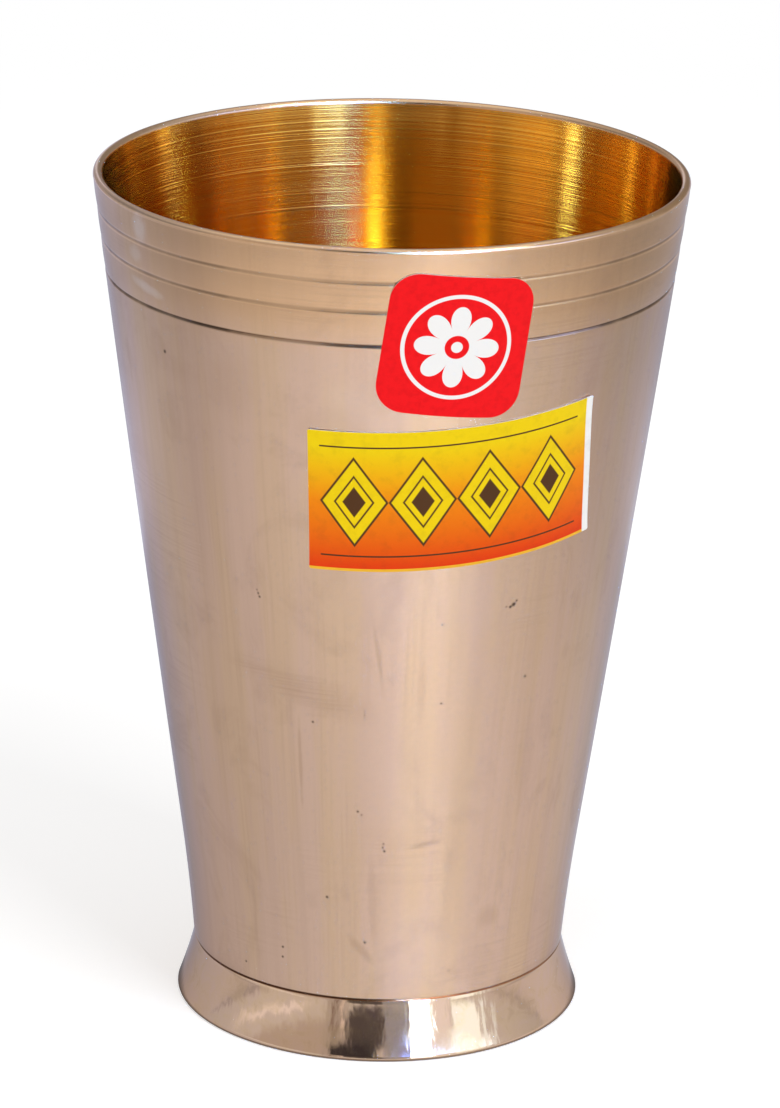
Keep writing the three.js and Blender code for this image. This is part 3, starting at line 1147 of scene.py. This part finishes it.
# The room as gloss shows it: its tones low in front, low behind, in the middle and high up, and
# where they change. Each card before it has the direction of its middle, half its width, its
# lowest and highest edge, how soft its sides are, and a tone. A noise warps the cards a little.
ROOM_FRONT = (0.66, 0.65, 0.64)
ROOM_BACK = (0.52, 0.52, 0.54)
ROOM_MIDDLE = (0.48, 0.48, 0.50)
ROOM_HIGH = (0.90, 0.90, 0.90)
ROOM_TURN = (60, 120)
ROOM_MIDDLE_RISE = (14, 22)
ROOM_HIGH_RISE = (40, 65)
CARDS = (
    ("dim corner", -47, 31, 7.5, 36, 4, (0.52, 0.47, 0.44)),
    ("pale streak", -62, 21, 3.5, 4.1, 8, (1.30, 1.25, 1.25)),
    ("curtain", -23, 6, -1, 20, 4, (0.46, 0.43, 0.40)),
    ("curtain fold", -24.5, 1.0, -1, 10, 0.8, (0.28, 0.22, 0.19)),
    ("curtain edge", -19.5, 0.8, -1, 10, 0.6, (0.80, 0.72, 0.66)),
    ("dark card", -4, 9, 4.1, 7, 0.8, (0.10, 0.09, 0.10)),
    ("wider dark card", -6, 11, 6, 13.5, 2.5, (0.10, 0.09, 0.09)),
    ("high dark card", -13, 13, 12.5, 40, 1.5, (0.05, 0.045, 0.05)),
    ("grey card", 12, 7.5, 3.4, 16, 0.8, (0.36, 0.38, 0.44)),
    ("dark left wall", -112, 35, 13, 34, 6, (0.26, 0.27, 0.30)),
    ("dark back wall", 152, 28, 3, 40, 7, (0.35, 0.33, 0.29)),
    ("doorway", -169.5, 5, -1, 20, 1.0, (1.1, 1.2, 1.4)),
    ("bright side", 60, 24, 8.5, 15, 16, (1.62, 1.95, 2.3)),
    ("higher bright side", 60, 24, 15, 22, 16, (1.25, 1.75, 4.6)),
    ("window glow", 41, 5, 13.3, 17, 2, (1.5, 2.9, 6.5)),
    ("window side", 9.5, 6, 22, 30, 1, (4, 10, 16)),
    ("window wall", 37, 7, -1, 12, 2, (1.0, 1.0, 1.04)),
    ("low window", 26, 6.5, 3.0, 13, 0.8, (3.0, 4.1, 5.2)),
    ("middle window", 26.6, 5.9, 13, 16.5, 0.4, (4.6, 9.0, 34)),
    ("high window", 21, 6.5, 16.5, 22, 0.6, (7, 17, 80)),
    ("top window", 21, 6.5, 22, 38, 0.6, (13, 42, 110)),
    ("cream wall", 54, 8.5, 2, 9.5, 1.5, (1.30, 1.52, 1.60)),
    ("cream fold", 66, 1.4, 1, 12, 0.9, (1.1, 1.3, 1.4)),
    ("last cream fold", 71, 1.0, 1, 12, 0.9, (0.95, 1.1, 1.2)),
)
CARD_EDGE = 1.2
CARD_WARP = 4
CARD_WARP_NOISE = (9.0, 3.0)


def floor_material():
    """Pale floor: lit by the lamps near the tumbler, the plain backdrop further off, and to gloss a
    glow of painted light and shade.
    """
    made, tree = material("studio_floor")
    x, y, _ = tree.split(tree.place())
    away = tree.vector("LENGTH", tree.join(x, y, 0.0))
    path = tree.outputs("ShaderNodeLightPath")
    seen = tree.most(path["Is Camera Ray"], path["Is Transmission Ray"])
    matt = tree.outputs("ShaderNodeBsdfDiffuse", FLOOR_ALBEDO)[0]
    veil = tree.glow(WHITE, tree.times(path["Is Camera Ray"], FLOOR_VEIL))
    near = tree.outputs("ShaderNodeAddShader", matt, veil)[0]
    far = tree.times(tree.step(away, *FLOOR_FADE), seen)
    floor = tree.shader_mix(far, near, tree.glow(WHITE, 1.0))
    floor = tree.shader_mix(path["Is Glossy Ray"], floor, floor_in_gloss(tree, x, y, away))
    from_below = tree.outputs("ShaderNodeNewGeometry")["Backfacing"]
    clear = tree.outputs("ShaderNodeBsdfTransparent")[0]
    tree.surface(tree.shader_mix(from_below, floor, clear))
    made.cycles.emission_sampling = "NONE"
    return made


def floor_tone(tree, azimuth, sideways, away):
    """The floor's painted light and shade in gloss: brightest to the front right, and bluish behind.
    """
    back = tree.stain(FLOOR_BACK_LEFT, FLOOR_BACK_RIGHT, sideways, *FLOOR_ACROSS)
    tone = tree.stain(FLOOR_SIDE, back, off_from(tree, azimuth, 0), *FLOOR_BEHIND)
    gain = tree.plus(toward(tree, azimuth, *FLOOR_FRONT), toward(tree, azimuth, *FLOOR_KEY))
    gain = tree.times(gain, tree.step(away, *FLOOR_NEAR, FLOOR_NEAR_GAIN, 1.0))
    return tree.mix(1.0, tone, tree.grey(gain), "ADD")


def floor_level(tree, azimuth, sideways, away):
    """How bright the floor's painted light is in gloss, by the distance and in paler and darker
    patches.
    """
    near = tree.grey(tree.step(sideways, -1, 1, *FLOOR_NEAR_SIDES))
    level = tree.stain(near, WHITE, away, *FLOOR_NEAR)
    level = tree.times(level, tree.step(away, *FLOOR_FAR))
    level = tree.plus(level, tree.step(away, *FLOOR_AWAY))
    shade = (FOOT_RADIUS, FOOT_RADIUS + FLOOR_SHADE_WIDTH)
    level = tree.times(level, tree.step(away, *shade, FLOOR_SHADE_LEVEL, 1.0))
    for middle, half, reach, change in FLOOR_PATCHES:
        patch = toward(tree, azimuth, middle, half)
        patch = tree.times(patch, tree.step(away, *reach, 0.0, change))
        level = tree.times(level, tree.plus(patch, 1.0))
    return level


def floor_in_gloss(tree, x, y, away):
    """The floor as gloss shows it: a glow of painted light and shade, not the lit floor."""
    azimuth = azimuth_of(tree, x, y)
    sideways = tree.over(x, away)
    tone = floor_tone(tree, azimuth, sideways, away)
    return tree.glow(tone, floor_level(tree, azimuth, sideways, away))


def studio_floor():
    """The studio's floor, a plain disc under the tumbler."""
    angles = [2 * math.pi * i / FLOOR_SEGMENTS for i in range(FLOOR_SEGMENTS)]
    edge = [(FLOOR_RADIUS * math.sin(a), -FLOOR_RADIUS * math.cos(a), 0) for a in angles]
    made = new_object("studio_floor", edge, [range(FLOOR_SEGMENTS)], (floor_material(),))


def room_in_gloss(tree, direction):
    """The room as gloss shows it: pale walls with the cards before them."""
    x, y, up = tree.split(direction)
    azimuth = azimuth_of(tree, x, y)
    height = tree.times(tree.math("ARCSINE", up), math.degrees(1))
    room = tree.stain(ROOM_FRONT, ROOM_BACK, off_from(tree, azimuth, 0), *ROOM_TURN)
    room = tree.stain(room, ROOM_MIDDLE, height, *ROOM_MIDDLE_RISE)
    room = tree.stain(room, ROOM_HIGH, height, *ROOM_HIGH_RISE)
    warp = tree.minus(tree.noise(direction, *CARD_WARP_NOISE), 0.5)
    warp = tree.times(warp, CARD_WARP)
    azimuth = tree.plus(azimuth, warp)
    height = tree.plus(height, warp)
    for _, middle, half, low, high, soft, card in CARDS:
        across = tree.within(off_from(tree, azimuth, middle), half, soft)
        above = tree.step(height, low - CARD_EDGE, low + CARD_EDGE)
        below = tree.within(height, high, CARD_EDGE)
        covered = tree.times(across, tree.times(above, below))
        room = tree.mix(covered, room, card)
    return room


def make_world():
    """Plain white to the camera, an even grey to matt surfaces and the room to gloss."""
    world = bpy.data.worlds.new("studio")
    bpy.context.scene.world = world
    tree = Tree(world)
    path = tree.outputs("ShaderNodeLightPath")
    room = room_in_gloss(tree, tree.outputs("ShaderNodeTexCoord")["Generated"])
    seen = tree.most(path["Is Camera Ray"], path["Is Transmission Ray"])
    tone = tree.mix(path["Is Glossy Ray"], (ROOM_LEVEL,) * 3, room)
    back = tree.outputs("ShaderNodeBackground", tree.mix(seen, tone, WHITE))[0]
    tree.surface(back, "ShaderNodeOutputWorld")
    world.cycles.sampling_method = "NONE"


def softbox(name, place, power, in_gloss):
    """A soft square lamp aimed at the middle of the tumbler, seen or not seen in its gloss."""
    data = bpy.data.lights.new(name, "AREA")
    data.size = SOFTBOX_SIZE * MM
    data.energy = power
    lamp = add(name, data)
    lamp.visible_glossy = in_gloss
    lamp.location = Vector(place) * MM
    aim = Vector((0, 0, HEIGHT / 2)) * MM - lamp.location
    lamp.rotation_euler = aim.to_track_quat("-Z", "Y").to_euler()


def make_studio():
    studio_floor()
    make_world()
    for lamp in SOFTBOXES:
        softbox(*lamp)


def make_camera():
    """The photograph's camera, with no shift."""
    yaw, pitch, roll = (math.radians(a) for a in (CAMERA_YAW, CAMERA_PITCH, CAMERA_ROLL))
    level = Vector((math.sin(yaw), math.cos(yaw), 0))
    ahead = level * math.cos(pitch) - Vector((0, 0, math.sin(pitch)))
    right = Vector((math.cos(yaw), -math.sin(yaw), 0))
    up = right.cross(ahead)
    right, up = (
        right * math.cos(roll) + up * math.sin(roll),
        up * math.cos(roll) - right * math.sin(roll),
    )
    data = bpy.data.cameras.new("photo_camera")
    data.sensor_width = SENSOR
    data.lens = FOCAL_PIXELS / PHOTO_HEIGHT * SENSOR
    data.clip_start = CAMERA_CLIP * MM
    camera = add("photo_camera", data)
    place = Vector((0, -CAMERA_DISTANCE, CAMERA_HEIGHT)) * MM
    turn = Matrix((right, up, -ahead)).transposed().to_4x4()
    camera.matrix_world = Matrix.Translation(place) @ turn
    bpy.context.scene.camera = camera


make_camera()
make_pieces()
make_studio()
bpy.context.scene.view_settings.view_transform = "Standard"
